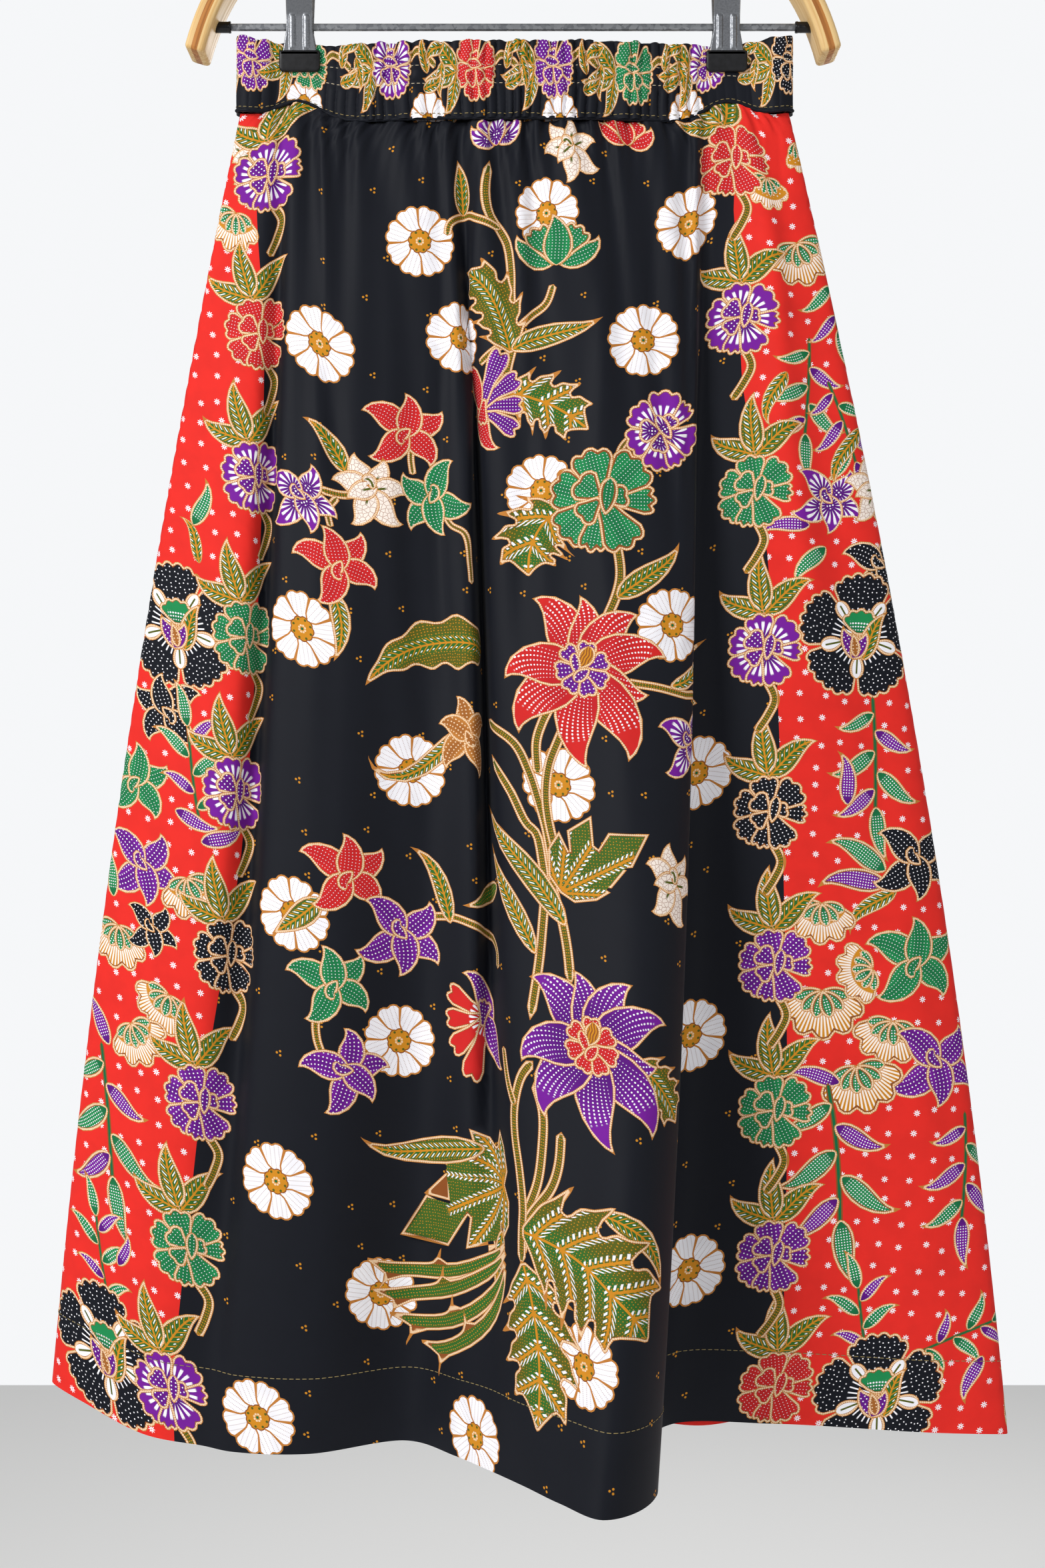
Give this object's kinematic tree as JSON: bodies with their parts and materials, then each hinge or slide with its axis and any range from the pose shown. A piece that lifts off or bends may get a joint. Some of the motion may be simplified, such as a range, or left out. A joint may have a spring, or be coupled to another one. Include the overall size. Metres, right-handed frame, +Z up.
{
  "type": "batik maxi skirt hung on a wooden clip hanger",
  "caption": "Full-length batik skirt with a gathered elastic waistband, hung by spring clips from the metal bar of a bent-wood hanger with a wire hook.",
  "frame": {"origin": "top of the inside of the hanger's hook, where a rail carries it", "axes": "+Z up, along the skirt's length; +X across the skirt to the viewer's right; the skirt's front faces -Y"},
  "size_m": [0.655, 0.211, 1.1669],
  "materials": {
    "printed_cotton": "smooth printed cotton, a dark ground with red, purple, green, ochre and white motifs",
    "printed_elastic_band": "the same cotton gathered over wide elastic",
    "light_wood": "lacquered light laminated wood with a brown core",
    "galvanised_bar": "dull galvanised steel",
    "clip_steel": "satin plated sheet steel",
    "spring_steel": "bright wire",
    "hook_wire": "polished plated wire",
    "black_vinyl": "glossy dipped vinyl"
  },
  "bodies": {
    "root": {"front_panel": "printed_cotton", "back_panel": "printed_cotton", "waistband_front": "printed_elastic_band", "waistband_back": "printed_elastic_band", "hanger_arm": "light_wood", "hook": "hook_wire", "rod": "galvanised_bar", "rod_socket_left": "black_vinyl", "rod_socket_right": "black_vinyl", "clip_left_front_plate": "clip_steel", "clip_left_rear_plate": "clip_steel", "clip_left_front_pad": "black_vinyl", "clip_left_rear_pad": "black_vinyl", "clip_left_spring": "spring_steel", "clip_right_front_plate": "clip_steel", "clip_right_rear_plate": "clip_steel", "clip_right_front_pad": "black_vinyl", "clip_right_rear_pad": "black_vinyl", "clip_right_spring": "spring_steel"}
  },
  "joints": []
}
